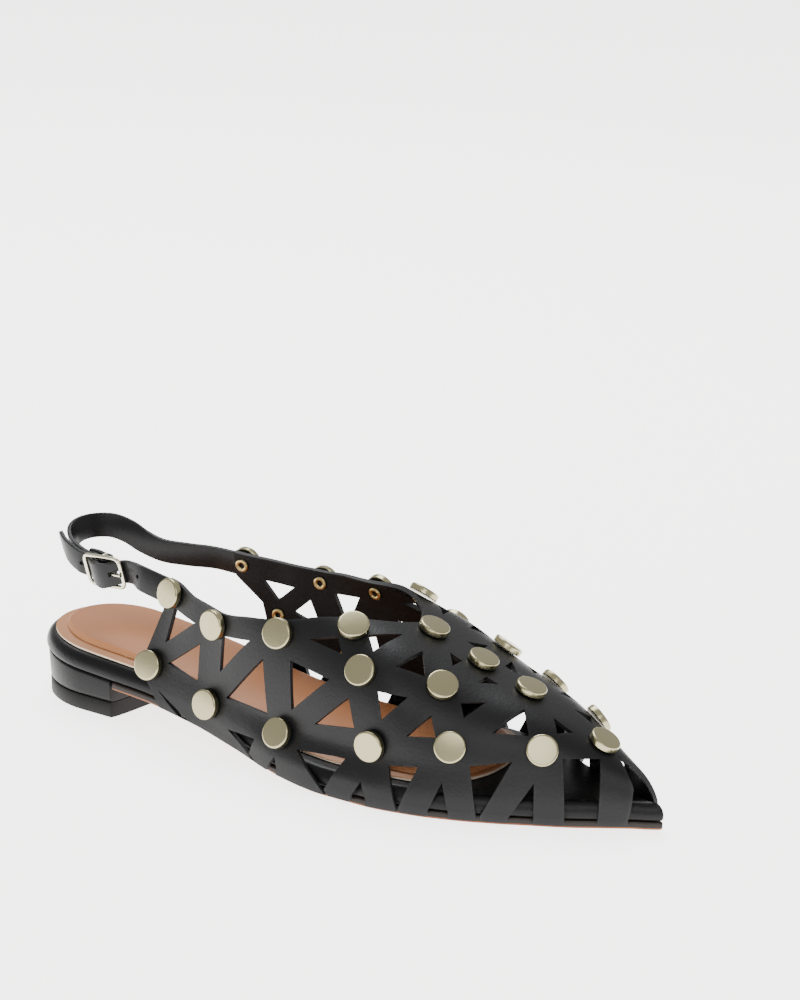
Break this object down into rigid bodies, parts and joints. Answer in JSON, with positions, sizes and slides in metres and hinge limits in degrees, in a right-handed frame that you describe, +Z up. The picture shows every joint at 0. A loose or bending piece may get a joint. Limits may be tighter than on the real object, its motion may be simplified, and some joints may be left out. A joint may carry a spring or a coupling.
{
  "type": "slingback flat shoe",
  "caption": "Pointed slingback flat for the right foot, its black leather upper cut into an open lattice with flat metal studs, a thin leather sole, a low heel and a strap with a small buckle",
  "frame": {"origin": "the middle of the heel's tread, on the floor", "axes": "+X to the toe, +Y to the inner (big toe) side, +Z up"},
  "size_m": [0.2595, 0.0874, 0.0641],
  "materials": {
    "outsole_leather": "matte",
    "wrapped_leather": "satin",
    "heel_leather": "satin",
    "top_piece_rubber": "satin",
    "insole_leather": "satin",
    "upper_leather": "satin",
    "strap_leather": "satin",
    "buckle_metal": "polished",
    "stud_metal": "polished"
  },
  "bodies": {
    "root": {"outsole": "outsole_leather", "footbed": "wrapped_leather", "heel_block": "heel_leather", "top_piece": "top_piece_rubber", "insole_sock": "insole_leather", "insole_pad": "insole_leather", "upper": "upper_leather", "heel_strap": "strap_leather", "buckle_strap": "strap_leather", "buckle_frame": "buckle_metal", "buckle_prong": "buckle_metal", "stud_a1_outer": "stud_metal", "stud_a1_inner": "stud_metal", "stud_a2_outer": "stud_metal", "stud_a2_inner": "stud_metal", "stud_a3_outer": "stud_metal", "stud_a3_inner": "stud_metal", "stud_a4_outer": "stud_metal", "stud_a4_inner": "stud_metal", "stud_b1_outer": "stud_metal", "stud_b1_inner": "stud_metal", "stud_b2_outer": "stud_metal", "stud_b2_inner": "stud_metal", "stud_b3_outer": "stud_metal", "stud_b3_inner": "stud_metal", "stud_b4_outer": "stud_metal", "stud_b4_inner": "stud_metal", "stud_b5_outer": "stud_metal", "stud_b5_inner": "stud_metal", "stud_b6_outer": "stud_metal", "stud_b6_inner": "stud_metal", "stud_m1_outer": "stud_metal", "stud_m1_inner": "stud_metal", "stud_m2_outer": "stud_metal", "stud_m2_inner": "stud_metal", "stud_c1_centre": "stud_metal", "stud_c2_centre": "stud_metal", "stud_c3_centre": "stud_metal", "stud_c4_centre": "stud_metal"}
  },
  "joints": []
}
